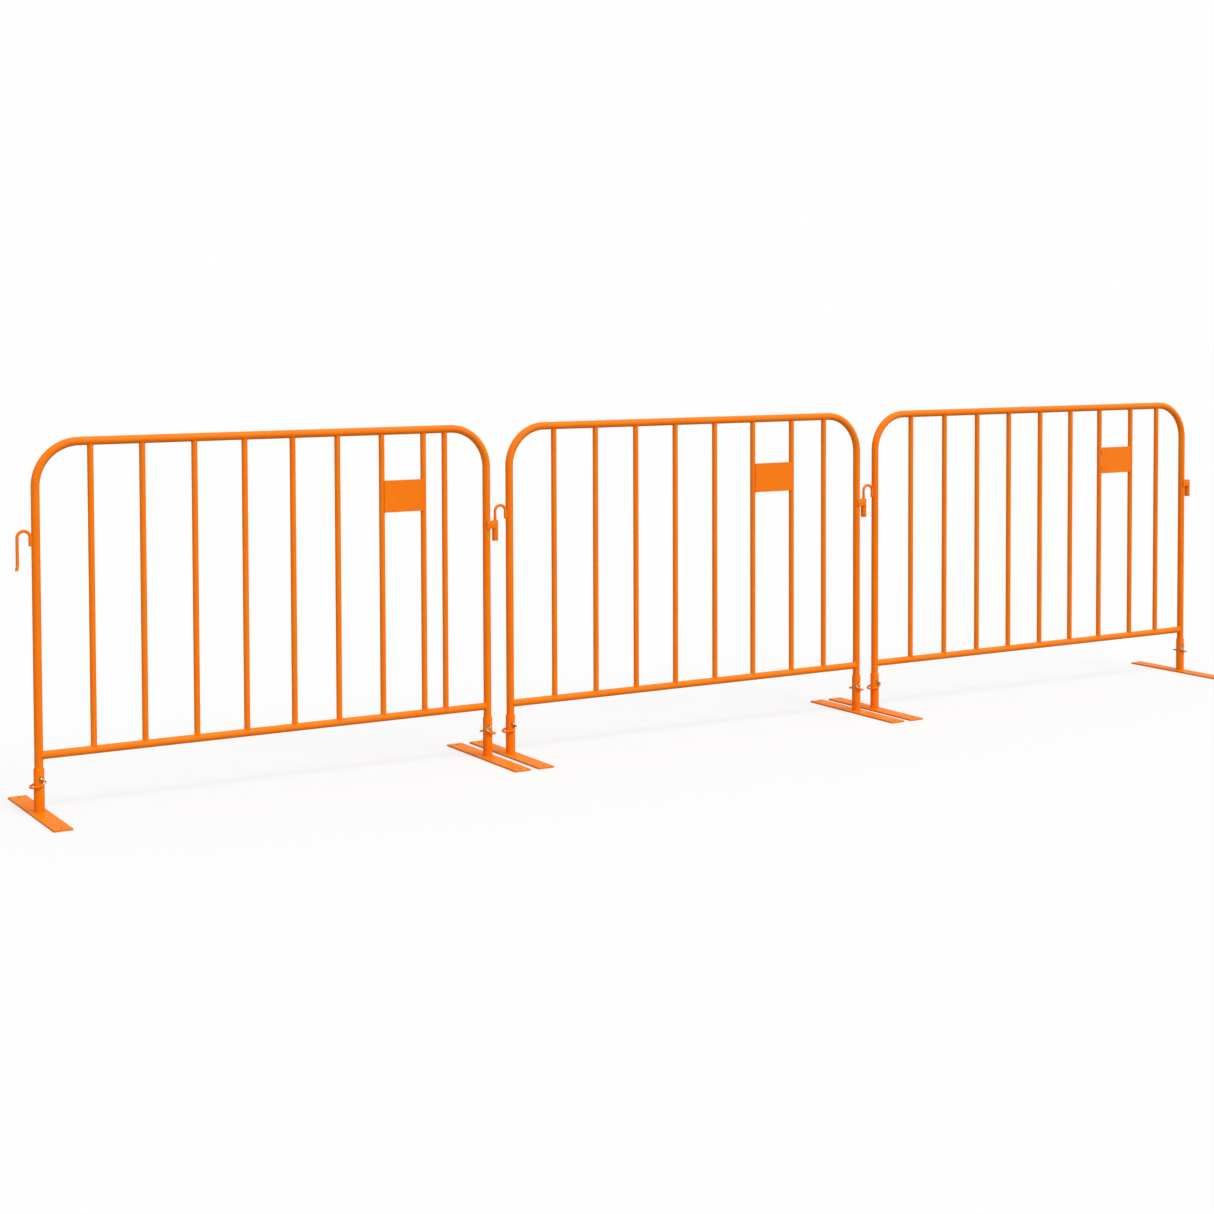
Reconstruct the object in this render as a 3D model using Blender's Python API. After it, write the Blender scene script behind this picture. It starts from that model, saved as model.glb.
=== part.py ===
"""A run of steel crowd control barriers, hooked end to end and standing on clipped flat feet.

Each section is a bent tube frame with a welded bottom rail, upright pickets and a name plate. A rod hook
on its left leg drops into the socket tube on the right leg of the section before it. Both legs stand in
loose feet, and a wire ring clip holds each foot on by a short pin through the sleeve and the leg.

Units are metres. The run lies along X, its front faces -Y, and the floor is z = 0 under the feet.
"""

from math import cos, pi, radians, sin, sqrt

import bmesh
import bpy
from mathutils import Matrix, Vector

# The run: leg to leg length of each section, and its bays from the left leg to the right leg. Only the
# proportions of the bays count, so that the pickets keep their rhythm when a section changes its length.
SECTION_LENGTHS = (1.476, 1.437, 1.573)
BAYS = (
    (164, 157, 162, 160, 157, 150, 152, 146, 76, 152),
    (169, 161, 160, 160, 164, 162, 168, 143, 150),
    (168, 161, 160, 158, 160, 158, 154, 167, 143, 144),
)
NAME_PLATE_BAYS = (7, 6, 7)  # place in BAYS, from 0, of the bay that carries the name plate

# Frame
OVERALL_HEIGHT = 1.100
FRAME_TUBE = 0.0254
FRAME_WALL = 0.0015
FRAME_BEND = 0.130  # radius of the top corners, at the tube's centre line
RAIL_THINNER = 0.0014  # how much thinner the bottom rail is than the frame tube
RAIL_WALL = 0.0015
RAIL_ABOVE_SLEEVE = 0.0375  # from the top of the sleeve to the rail's centre line
PICKET_TUBE = 0.0185
PICKET_WALL = 0.0012
NAME_PLATE_TALL = 0.102
NAME_PLATE_THICK = 0.0020
NAME_PLATE_BELOW_TOP = 0.221  # from the top of the frame to the plate's centre
NAME_PLATE_INSET = 0.004  # from the axis of the picket at each end

# Hook and socket
HOOK_ROD = 0.0095
SOCKET_FIT = 0.0036  # clearance round the rod in the socket
SOCKET_WALL = 0.0019
SOCKET_BELOW_TOP = 0.3175  # from the top of the frame to the top of the socket
SOCKET_TALL = 0.0665
SOCKET_CLEAR = 0.00705  # between the leg and the socket tube
STRAP_TALL = 0.026
STRAP_THICK = 0.0030
STRAP_LAP = 0.004  # how far the strap starts before the leg's axis
STRAP_WELD = 0.0008  # how deep the socket tube is sunk into the strap's back
HOOK_SPAN = 0.0376  # between the axes of the hook's two legs
HOOK_RISE = 0.049  # from the top of the socket to the centre line at the top of the bow
HOOK_WELD_RISE = 0.0035  # from the top of the socket to the hook's welded end
HOOK_DEEP = 0.066  # how far the tip goes below the top of the socket
HOOK_KICK = 0.0022  # how far the tip is set outwards
HOOK_KICK_LONG = 0.018

# Feet
FOOT_LONG = 0.485
FOOT_WIDE = 0.056
FOOT_THICK = 0.006
ANCHOR_HOLE = 0.008
ANCHOR_FROM_END = 0.022
SLEEVE_WALL = 0.0024
SLEEVE_FIT = 0.0004  # clearance round the leg
SLEEVE_TOP = 0.135
PIN_BELOW_SLEEVE_TOP = 0.026
PIN_HOLE_FIT = 0.0007  # clearance round the wire

# Ring clip
CLIP_WIRE = 0.0070
CLIP_ROOM = 0.0040  # between the sleeve and the inside of the ring, were the two concentric
CLIP_ASIDE = 0.0020  # how far the ring hangs outwards of its leg
CLIP_BACK = 0.0025  # how far the ring hangs behind its leg
CLIP_DROP = 0.0235  # from the pin to the middle of the ring
CLIP_DROOP = 0.0045  # the outer side hangs this much below the middle
CLIP_PIN_INSIDE = 0.0007  # how far the pin's tip stands into the leg's bore
CLIP_STAND_OFF = 0.0026  # between the sleeve and the wire where it turns down
CLIP_START = -52  # degrees round the ring, from its inner side, where the wire joins it
CLIP_SWEEP = 300
CLIP_LEAD_IN = 0.0100  # how far above the ring the wire joins it
CLIP_LEAD_SHARE = 6  # the wire is down on the ring after this fraction of it

# Colour, roughness and metallic value of each kind of piece
PAINTS = {
    "frame": ((0.87, 0.19, 0.01), 0.38, 0.0),
    "rail": ((0.87, 0.19, 0.01), 0.38, 0.0),
    "picket": ((0.86, 0.18, 0.01), 0.38, 0.0),
    "name_plate": ((0.86, 0.20, 0.015), 0.42, 0.0),
    "hook": ((0.87, 0.19, 0.01), 0.40, 0.0),
    "socket": ((0.87, 0.19, 0.01), 0.40, 0.0),
    "foot_plate": ((0.90, 0.22, 0.02), 0.45, 0.0),
    "foot_sleeve": ((0.87, 0.19, 0.01), 0.40, 0.0),
    "clip": ((0.88, 0.21, 0.02), 0.35, 0.0),
}

GAP = 0.0003  # between welded or resting pieces, each of which is its own body

FRAME_SIDES = 20
SMALL_TUBE_SIDES = 14
ROD_SIDES = 10
HOLE_SIDES = 12
BEND_STEPS = 7
BOW_STEPS = 10
CLIP_STEPS = 20

UP = Vector((0, 0, 1))
RIGHT = Vector((1, 0, 0))
BACK = Vector((0, 1, 0))

TOP_RAIL_HEIGHT = OVERALL_HEIGHT - FRAME_TUBE / 2
RAIL_TUBE = FRAME_TUBE - RAIL_THINNER
RAIL_HEIGHT = SLEEVE_TOP + RAIL_ABOVE_SLEEVE
NAME_PLATE_HEIGHT = OVERALL_HEIGHT - NAME_PLATE_BELOW_TOP
LEG_BOTTOM = FOOT_THICK + GAP
SLEEVE_TUBE = FRAME_TUBE + 2 * (SLEEVE_FIT + SLEEVE_WALL)
PIN_HEIGHT = SLEEVE_TOP - PIN_BELOW_SLEEVE_TOP
CLIP_RING = SLEEVE_TUBE / 2 + CLIP_ROOM + CLIP_WIRE / 2
SOCKET_TOP = OVERALL_HEIGHT - SOCKET_BELOW_TOP
SOCKET_TUBE = HOOK_ROD + 2 * (SOCKET_FIT + SOCKET_WALL)
SOCKET_REACH = (FRAME_TUBE + SOCKET_TUBE) / 2 + SOCKET_CLEAR  # between the two axes
STRAP_BACK = -FRAME_TUBE / 2 - GAP
SOCKET_Y = STRAP_BACK - STRAP_WELD + SOCKET_TUBE / 2
HOOK_TOP = SOCKET_TOP + HOOK_RISE
HOOK_WELD_BOTTOM = SOCKET_TOP + HOOK_WELD_RISE
HOOK_TIP = SOCKET_TOP - HOOK_DEEP
HOOK_WELD_REACH = sqrt(((FRAME_TUBE + HOOK_ROD) / 2 + GAP) ** 2 - SOCKET_Y**2)
HOOK_REACH = HOOK_WELD_REACH + HOOK_SPAN
COUPLING = SOCKET_REACH + HOOK_REACH  # from a right leg to the left leg of the next section
RUN_LEFT = HOOK_REACH + HOOK_KICK + HOOK_ROD / 2
RUN_RIGHT = SOCKET_REACH + SOCKET_TUBE / 2


# --- Shaping ---------------------------------------------------------------------------------------


def open_ring(bm, diameter, sides, place):
    """Add a circle of edges round the z axis of place and return the edges."""
    made = bmesh.ops.create_circle(
        bm, cap_ends=False, radius=diameter / 2, segments=sides, matrix=place
    )
    return list({edge for vert in made["verts"] for edge in vert.link_edges})


def run_straight(bm, ring, step):
    """Extrude a ring along step and return the new ring."""
    made = bmesh.ops.extrude_edge_only(bm, edges=ring)["geom"]
    verts = {item for item in made if isinstance(item, bmesh.types.BMVert)}
    bmesh.ops.translate(bm, verts=list(verts), vec=step)
    return [
        item
        for item in made
        if isinstance(item, bmesh.types.BMEdge) and verts.issuperset(item.verts)
    ]


def run_bend(bm, ring, centre, axis, angle, steps):
    """Spin a ring round a centre and return the new ring."""
    made = bmesh.ops.spin(
        bm, geom=ring, cent=centre, axis=axis, dvec=(0, 0, 0), angle=angle, steps=steps
    )
    return [item for item in made["geom_last"] if isinstance(item, bmesh.types.BMEdge)]


def run_moves(bm, ring, moves):
    """Carry a ring along straights, given as a step, and bends, given as centre, axis, angle, steps."""
    for move in moves:
        ring = run_straight(bm, ring, move[0]) if len(move) == 1 else run_bend(bm, ring, *move)
    return ring


def hollow_tube(bm, diameter, wall, sides, place, moves):
    """Run a tube with a wall along moves, open at both ends."""
    run_moves(bm, open_ring(bm, diameter, sides, place), moves)
    bmesh.ops.recalc_face_normals(bm, faces=bm.faces)
    bmesh.ops.solidify(bm, geom=bm.faces[:], thickness=wall)


def solid_rod(bm, diameter, sides, place, moves):
    """Run a solid round bar along moves."""
    start = open_ring(bm, diameter, sides, place)
    end = run_moves(bm, start, moves)
    bmesh.ops.edgeloop_fill(bm, edges=start)
    bmesh.ops.edgeloop_fill(bm, edges=end)


def stand_off(width, y):
    """How far from a tube's axis another tube's end stands, at y in front of or behind that axis."""
    return sqrt((width / 2 + GAP) ** 2 - y**2)


def top_rail_underside(y, from_leg):
    """Height of the top rail's underside at a distance from the nearest leg, following the bend's flats."""
    half = pi / 4 / BEND_STEPS
    reach = (FRAME_BEND - stand_off(FRAME_TUBE, y)) * cos(half)
    beyond = max(0, FRAME_BEND - from_leg)
    flats = [half * (2 * count + 1) for count in range(BEND_STEPS)]
    rise = min((reach - beyond * sin(flat)) / cos(flat) for flat in flats)
    return TOP_RAIL_HEIGHT - FRAME_BEND + rise


def block(bm, low, high):
    """Add a box between two corners."""
    low, high = Vector(low), Vector(high)
    place = Matrix.Translation((low + high) / 2) @ Matrix.Diagonal((*(high - low), 1))
    bmesh.ops.create_cube(bm, size=1, matrix=place)


def facing_up(x, y, z):
    return Matrix.Translation((x, y, z))


def facing_right(x, y, z):
    return Matrix.Translation((x, y, z)) @ Matrix.Rotation(pi / 2, 4, "Y")


def facing_back(x, y, z):
    return Matrix.Translation((x, y, z)) @ Matrix.Rotation(-pi / 2, 4, "X")


# --- Objects ---------------------------------------------------------------------------------------


def clear_scene():
    for obj in list(bpy.data.objects):
        bpy.data.objects.remove(obj, do_unlink=True)


def make_finish(name, colour, roughness, metallic):
    material = bpy.data.materials.new(name)
    material.use_nodes = True
    shader = material.node_tree.nodes["Principled BSDF"]
    shader.inputs["Base Color"].default_value = (*colour, 1)
    shader.inputs["Roughness"].default_value = roughness
    shader.inputs["Metallic"].default_value = metallic
    return material


def make_mesh(name, bm, finish):
    """Close a bmesh into a mesh with outward faces and smooth round sides."""
    bmesh.ops.recalc_face_normals(bm, faces=bm.faces)
    mesh = bpy.data.meshes.new(name)
    bm.to_mesh(mesh)
    bm.free()
    mesh.materials.append(finish)
    mesh.shade_smooth()
    mesh.set_sharp_from_angle(angle=radians(35))
    return mesh


def put(name, data, parent, place):
    """Add an object for data at a place given from its parent."""
    obj = bpy.data.objects.new(name, data)
    bpy.context.scene.collection.objects.link(obj)
    obj.parent = parent
    obj.location = place
    return obj


def combined(name, mesh, other, operation, finish):
    """Return mesh after a Boolean with another mesh."""
    body = put(name, mesh, None, (0, 0, 0))
    tool = put(name + "_tool", other, None, (0, 0, 0))
    modifier = body.modifiers.new("Boolean", "BOOLEAN")
    modifier.operation = operation
    modifier.solver = "EXACT"
    modifier.object = tool
    graph = bpy.context.evaluated_depsgraph_get()
    made = bpy.data.meshes.new_from_object(body.evaluated_get(graph))
    made.name = name
    made.materials.clear()
    made.materials.append(finish)
    bpy.data.objects.remove(body, do_unlink=True)
    bpy.data.objects.remove(tool, do_unlink=True)
    return made


# --- Meshes of one section, measured from its left leg's axis on the floor -------------------------


def frame_mesh(length, finish):
    """The bent tube: left leg, top rail and right leg, with a pin hole low in the front of each leg."""
    bm = bmesh.new()
    rise = UP * (TOP_RAIL_HEIGHT - FRAME_BEND - LEG_BOTTOM)
    left_centre = (FRAME_BEND, 0, TOP_RAIL_HEIGHT - FRAME_BEND)
    right_centre = (length - FRAME_BEND, 0, TOP_RAIL_HEIGHT - FRAME_BEND)
    moves = (
        (rise,),
        (left_centre, (0, 1, 0), pi / 2, BEND_STEPS),
        (RIGHT * (length - 2 * FRAME_BEND),),
        (right_centre, (0, 1, 0), pi / 2, BEND_STEPS),
        (-rise,),
    )
    hollow_tube(bm, FRAME_TUBE, FRAME_WALL, FRAME_SIDES, facing_up(0, 0, LEG_BOTTOM), moves)
    tube = make_mesh("frame_tube", bm, finish)
    return combined("frame_tube", tube, pin_drill((0, length), finish), "DIFFERENCE", finish)


def pin_drill(leg_places, finish):
    """Cutters for the pin holes: from in front of each sleeve to the leg's axis."""
    bm = bmesh.new()
    for x in leg_places:
        place = facing_back(x, -SLEEVE_TUBE, PIN_HEIGHT)
        solid_rod(bm, CLIP_WIRE + 2 * PIN_HOLE_FIT, HOLE_SIDES, place, ((BACK * SLEEVE_TUBE,),))
    return make_mesh("pin_drill", bm, finish)


def rail_mesh(length, finish):
    """The bottom rail, coped to both legs."""
    bm = bmesh.new()
    place = facing_right(0, 0, RAIL_HEIGHT)
    moves = ((RIGHT * length,),)
    hollow_tube(bm, RAIL_TUBE, RAIL_WALL, FRAME_SIDES, place, moves)
    for vert in bm.verts:
        reach = stand_off(FRAME_TUBE, vert.co.y)
        vert.co.x = reach if vert.co.x < length / 2 else length - reach
    return make_mesh("bottom_rail", bm, finish)


def picket_mesh(x, length, finish):
    """The upright at x along its section, coped to the bottom rail and the top rail."""
    bm = bmesh.new()
    place = facing_up(0, 0, RAIL_HEIGHT)
    moves = ((UP * (TOP_RAIL_HEIGHT - RAIL_HEIGHT),),)
    hollow_tube(bm, PICKET_TUBE, PICKET_WALL, SMALL_TUBE_SIDES, place, moves)
    for vert in bm.verts:
        if vert.co.z > (RAIL_HEIGHT + TOP_RAIL_HEIGHT) / 2:
            from_leg = min(x + vert.co.x, length - x - vert.co.x)
            vert.co.z = top_rail_underside(vert.co.y, from_leg)
        else:
            vert.co.z = RAIL_HEIGHT + stand_off(RAIL_TUBE, vert.co.y)
    return make_mesh("picket", bm, finish)


def name_plate_mesh(left, right, finish):
    """A blank plate on the fronts of two pickets."""
    bm = bmesh.new()
    back = -PICKET_TUBE / 2 - GAP
    low = NAME_PLATE_HEIGHT - NAME_PLATE_TALL / 2
    corner = (left + NAME_PLATE_INSET, back - NAME_PLATE_THICK, low)
    block(bm, corner, (right - NAME_PLATE_INSET, back, low + NAME_PLATE_TALL))
    return make_mesh("name_plate", bm, finish)


def hook_mesh(finish):
    """The rod hook: up from its weld on the leg, over in a bow, and down with its tip set outwards."""
    bm = bmesh.new()
    bow_base = HOOK_TOP - HOOK_SPAN / 2
    bow_centre = (-HOOK_WELD_REACH - HOOK_SPAN / 2, SOCKET_Y, bow_base)
    straight = bow_base - HOOK_TIP - HOOK_KICK_LONG
    moves = (
        (UP * (bow_base - HOOK_WELD_BOTTOM),),
        (bow_centre, (0, -1, 0), pi, BOW_STEPS),
        (-UP * straight,),
        (Vector((-HOOK_KICK, 0, -HOOK_KICK_LONG)),),
    )
    place = facing_up(-HOOK_WELD_REACH, SOCKET_Y, HOOK_WELD_BOTTOM)
    solid_rod(bm, HOOK_ROD, ROD_SIDES, place, moves)
    return make_mesh("hook", bm, finish)


def socket_mesh(length, finish):
    """The socket tube beside the right leg, on a strap that starts on the front of the leg.

    The strap stands a gap above the tube, so that no two faces of the union share a plane.
    """
    tube = bmesh.new()
    axis_x = length + SOCKET_REACH
    place = facing_up(axis_x, SOCKET_Y, SOCKET_TOP - SOCKET_TALL)
    hollow_tube(tube, SOCKET_TUBE, SOCKET_WALL, FRAME_SIDES, place, ((UP * SOCKET_TALL,),))
    strap = bmesh.new()
    low = (length - STRAP_LAP, STRAP_BACK - STRAP_THICK, SOCKET_TOP - STRAP_TALL)
    block(strap, low, (axis_x, STRAP_BACK, SOCKET_TOP + GAP))
    tube_mesh = make_mesh("socket", tube, finish)
    return combined("socket", tube_mesh, make_mesh("strap", strap, finish), "UNION", finish)


# --- Feet ------------------------------------------------------------------------------------------


def foot_plate_mesh(finish):
    """A flat bar across the run with an anchor hole near each end."""
    bm = bmesh.new()
    block(bm, (-FOOT_WIDE / 2, -FOOT_LONG / 2, 0), (FOOT_WIDE / 2, FOOT_LONG / 2, FOOT_THICK))
    plate = make_mesh("foot_plate", bm, finish)
    drill = bmesh.new()
    for side in (-1, 1):
        y = side * (FOOT_LONG / 2 - ANCHOR_FROM_END)
        place = facing_up(0, y, -FOOT_THICK)
        solid_rod(drill, ANCHOR_HOLE, HOLE_SIDES, place, ((UP * 3 * FOOT_THICK,),))
    cutter = make_mesh("anchor_drill", drill, finish)
    return combined("foot_plate", plate, cutter, "DIFFERENCE", finish)


def foot_sleeve_mesh(finish):
    """The tube that the leg stands in, with the pin hole in its front."""
    bm = bmesh.new()
    place = facing_up(0, 0, LEG_BOTTOM)
    moves = ((UP * (SLEEVE_TOP - LEG_BOTTOM),),)
    hollow_tube(bm, SLEEVE_TUBE, SLEEVE_WALL, FRAME_SIDES, place, moves)
    sleeve = make_mesh("foot_sleeve", bm, finish)
    return combined("foot_sleeve", sleeve, pin_drill((0,), finish), "DIFFERENCE", finish)


def clip_route(outward):
    """Points of the wire's centre line, from the crossing of the pin's axis and the leg's axis.

    outward is -1 on a left foot, whose ring hangs to the left, and 1 on a right foot.
    """
    pin_tip = FRAME_WALL - FRAME_TUBE / 2 + CLIP_PIN_INSIDE
    turn = -(SLEEVE_TUBE / 2 + CLIP_STAND_OFF + CLIP_WIRE / 2)
    points = [
        Vector((0, pin_tip, 0)),
        Vector((0, turn + CLIP_WIRE / 2, 0)),
        Vector((-outward * CLIP_WIRE / 4, turn, -CLIP_WIRE / 2)),
    ]
    centre = Vector((outward * CLIP_ASIDE, CLIP_BACK, -CLIP_DROP))
    for step in range(CLIP_STEPS + 1):
        share = step / CLIP_STEPS
        angle = radians(CLIP_START - CLIP_SWEEP * share)
        lead = max(0, 1 - share * CLIP_LEAD_SHARE)
        rise = cos(angle) * CLIP_DROOP + CLIP_LEAD_IN * lead**2
        across = -outward * cos(angle) * CLIP_RING
        points.append(centre + Vector((across, sin(angle) * CLIP_RING, rise)))
    return points


def clip_curve(name, outward, finish):
    """The wire ring clip: a short pin, and a ring that goes most of the way round the sleeve."""
    curve = bpy.data.curves.new(name, "CURVE")
    curve.dimensions = "3D"
    curve.bevel_depth = CLIP_WIRE / 2
    curve.bevel_resolution = 2
    curve.use_fill_caps = True
    points = clip_route(outward)
    spline = curve.splines.new("POLY")
    spline.points.add(len(points) - 1)
    for target, point in zip(spline.points, points):
        target.co = (*point, 1)
    curve.materials.append(finish)
    return curve


# --- Assembly --------------------------------------------------------------------------------------


def picket_places(length, bays):
    """Distance of each picket from the left leg."""
    scale = length / sum(bays)
    return [scale * sum(bays[: count + 1]) for count in range(len(bays) - 1)]


def make_foot(stem, x, parent, place, parts):
    """One foot and its clip, round the leg at x. The clip's origin is where its pin crosses the leg."""
    foot = place + RIGHT * x
    put(f"{stem}_foot_plate", parts["foot_plate"], parent, foot)
    put(f"{stem}_foot_sleeve", parts["foot_sleeve"], parent, foot)
    put(f"{stem}_clip", parts["clip"], parent, foot + UP * PIN_HEIGHT)


def make_section(number, left_leg, parts, finishes):
    """One barrier section. Its empty stands on the axis that it swings about, which is its hook's."""
    name = f"section_{number}"
    length = SECTION_LENGTHS[number - 1]
    swing = put(f"{name}_swing", None, None, (left_leg - HOOK_REACH, SOCKET_Y, 0))
    place = RIGHT * HOOK_REACH - BACK * SOCKET_Y
    put(f"{name}_frame_tube", frame_mesh(length, finishes["frame"]), swing, place)
    put(f"{name}_bottom_rail", rail_mesh(length, finishes["rail"]), swing, place)
    pickets = picket_places(length, BAYS[number - 1])
    for count, x in enumerate(pickets, start=1):
        picket = picket_mesh(x, length, finishes["picket"])
        put(f"{name}_picket_{count}", picket, swing, place + RIGHT * x)
    bay = NAME_PLATE_BAYS[number - 1]
    plate = name_plate_mesh(pickets[bay - 1], pickets[bay], finishes["name_plate"])
    put(f"{name}_name_plate", plate, swing, place)
    put(f"{name}_hook", parts["hook"], swing, place)
    put(f"{name}_socket", socket_mesh(length, finishes["socket"]), swing, place)
    for side, x in (("left", 0), ("right", length)):
        make_foot(f"{name}_{side}", x, swing, place, parts | {"clip": parts[f"{side}_clip"]})


def main():
    clear_scene()
    finishes = {name: make_finish(f"{name}_paint", *look) for name, look in PAINTS.items()}
    parts = {
        "hook": hook_mesh(finishes["hook"]),
        "foot_plate": foot_plate_mesh(finishes["foot_plate"]),
        "foot_sleeve": foot_sleeve_mesh(finishes["foot_sleeve"]),
        "left_clip": clip_curve("left_clip", -1, finishes["clip"]),
        "right_clip": clip_curve("right_clip", 1, finishes["clip"]),
    }
    run = RUN_LEFT + sum(SECTION_LENGTHS) + COUPLING * (len(SECTION_LENGTHS) - 1) + RUN_RIGHT
    left_leg = RUN_LEFT - run / 2
    for number, length in enumerate(SECTION_LENGTHS, start=1):
        make_section(number, left_leg, parts, finishes)
        left_leg += length + COUPLING


main()
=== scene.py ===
"""Visual model of a run of steel crowd control barriers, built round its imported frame.

Every size is in metres. The run lies along X, its front faces -Y, and the floor is z = 0.
"""

from math import atan2, cos, hypot, pi, radians, sin, sqrt

import bmesh
import bpy
from bpy.props import FloatProperty, FloatVectorProperty, PointerProperty
from mathutils import Matrix, Vector


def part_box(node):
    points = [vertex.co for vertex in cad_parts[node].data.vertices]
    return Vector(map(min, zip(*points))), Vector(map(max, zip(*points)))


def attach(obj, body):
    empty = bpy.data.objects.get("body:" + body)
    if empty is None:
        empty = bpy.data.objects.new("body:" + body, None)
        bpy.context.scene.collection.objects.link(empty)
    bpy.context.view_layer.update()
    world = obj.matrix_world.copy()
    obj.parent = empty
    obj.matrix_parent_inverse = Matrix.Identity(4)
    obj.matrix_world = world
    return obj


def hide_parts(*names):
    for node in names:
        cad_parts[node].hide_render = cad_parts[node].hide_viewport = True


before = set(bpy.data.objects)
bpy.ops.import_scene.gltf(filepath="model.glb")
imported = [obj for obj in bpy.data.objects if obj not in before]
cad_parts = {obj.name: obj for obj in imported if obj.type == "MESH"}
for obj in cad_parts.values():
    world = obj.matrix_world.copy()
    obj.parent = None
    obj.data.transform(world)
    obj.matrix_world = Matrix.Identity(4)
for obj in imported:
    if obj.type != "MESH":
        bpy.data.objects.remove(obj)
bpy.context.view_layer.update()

bl_info = {
    "name": "Crowd Control Barrier Run",
    "version": (1, 0, 0),
    "blender": (4, 5, 0),
    "location": "3D View > Sidebar > Barrier",
    "description": "Builds the tubes, feet, hooks, clips and studio of a run of crowd control barriers",
    "category": "Object",
}

SECTIONS = (1, 2, 3)
SIDES = ("left", "right")

FRAME_SIDES = 56
PICKET_SIDES = 40
ROD_SIDES = 28
WIRE_SIDES = 16
HOLE_SIDES = 32
BEND_STEPS = 28
BOW_STEPS = 28
PATH_FINENESS = 5  # points laid on the clip's wire for each point of its route
SHARP = radians(35)

CLIP_PIN_INSIDE = 0.0007  # how far the pin's tip stands into the leg's bore
CLIP_STAND_OFF = 0.0026  # between the sleeve and the wire where it turns down
CLIP_ROOM = 0.0043  # between the sleeve and the ring, 0.3 mm more than the node's, for the pull
CLIP_MIDDLE = (0.0020, 0.0025, -0.0235)  # the ring's middle from the pin: outwards, back and up
CLIP_STEPS = 20
CLIP_START = -52  # degrees round the ring, from its inner side, where the wire joins it
CLIP_SWEEP = 300
CLIP_DROOP = 0.0045  # the outer side hangs this much below the middle
CLIP_LEAD_IN = 0.0100  # how far above the ring the wire joins it
CLIP_LEAD_SHARE = 6  # the wire is down on the ring after this fraction of it
CLIP_BARE_FROM = 0.0175  # the wire starts to be bare this far below the pin
CLIP_BARE_FADE = 0.004

WELD_GAP = 0.0002  # between a tube's end and the tube that it meets
TIP_STEPS = 8  # points on the hook's bent tip
RIM_DEPTH = 0.0005  # how far down from a rim the paint is worn
CORNER = 0.0012  # rounding of a name plate's corners
DUST_TOP = 0.030
PEEL_DEPTH = 0.0004
STEEL_ROUGHNESS = 0.34

KEY_DIRECTION = (0.20, -0.58, 0.79)  # from the object to the sun
KEY_ANGLE = radians(20)
BRIGHT_DIRECTION = (0.65, -0.76, 0.0)
BACKDROP = 0.995
FLOOR_RADIUS = 150

CAMERA_PLACE = (-3.9814, -6.0016, 1.4324)
CAMERA_TURN = 0.5405  # radians to the right of straight back
CAMERA_DIP = 0.0386
CAMERA_ROLL = -0.0032
CAMERA_LENS = 61.463
CAMERA_SHIFT = -0.1692

UP = Vector((0, 0, 1))
BACK = Vector((0, 1, 0))
RIGHT = Vector((1, 0, 0))


def cad_size(node):
    low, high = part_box(node)
    return high - low


def length(name, description, default):
    return FloatProperty(
        name=name, description=description, default=default, min=0, precision=4, unit="LENGTH"
    )


def colour(name, description, default):
    return FloatVectorProperty(
        name=name, description=description, default=default, size=3, min=0, max=1, subtype="COLOR"
    )


def share(name, description, default):
    return FloatProperty(
        name=name, description=description, default=default, min=0, max=1, subtype="FACTOR"
    )


def strength(name, description, default):
    return FloatProperty(name=name, description=description, default=default, min=0)


class BarrierSizes(bpy.types.PropertyGroup):
    """Sizes that the pieces share"""

    frame_tube: length("Frame Tube", "Diameter of the bent tube", cad_size("section_1_frame_tube").y)
    frame_wall: length("Frame Wall", "Wall of the bent tube", 0.0015)
    frame_bend: length("Frame Bend", "Radius of the top corners at the centre line", 0.130)
    rail_tube: length("Bottom Rail", "Diameter of the rail", cad_size("section_1_bottom_rail").y)
    rail_wall: length("Rail Wall", "Wall of the bottom rail", 0.0015)
    picket_tube: length("Picket", "Diameter of a picket", cad_size("section_1_picket_1").y)
    picket_wall: length("Picket Wall", "Wall of a picket", 0.0012)
    hook_rod: length("Hook Rod", "Diameter of the hook's round bar", 0.0095)
    hook_span: length("Hook Span", "Between the axes of the hook's two legs", 0.0376)
    hook_kick: length("Hook Kick", "How far the hook's tip is set outwards", 0.0022)
    hook_kick_long: length("Hook Kick Length", "Length over which the tip is set outwards", 0.018)
    hook_weld: length("Hook Weld Rise", "From the top of the socket to the hook's welded end", 0.0035)
    socket_tube: length("Socket Tube", "Outside diameter of the socket", 0.0205)
    socket_wall: length("Socket Wall", "Wall of the socket", 0.0019)
    strap_thick: length("Strap Thickness", "Thickness of the socket's strap", 0.0030)
    strap_tall: length("Strap Height", "Height of the socket's strap", 0.026)
    anchor_hole: length("Anchor Hole", "Diameter of the holes near the ends of a foot plate", 0.008)
    anchor_from_end: length("Anchor From End", "From the end of a foot plate to its hole", 0.022)
    sleeve_wall: length("Sleeve Wall", "Wall of the foot's sleeve", 0.0024)
    pin_below: length("Pin Below", "From the top of the sleeve to the clip's pin", 0.026)
    pin_fit: length("Pin Fit", "Clearance round the clip's pin", 0.0007)
    clip_wire: length("Clip Wire", "Diameter of the ring clip's wire", 0.0070)
    bead: length("Weld Bead", "Half thickness of a weld bead", 0.0017)
    edge: length("Edge Rounding", "Rounding of cut and sawn edges", 0.0006)


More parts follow.
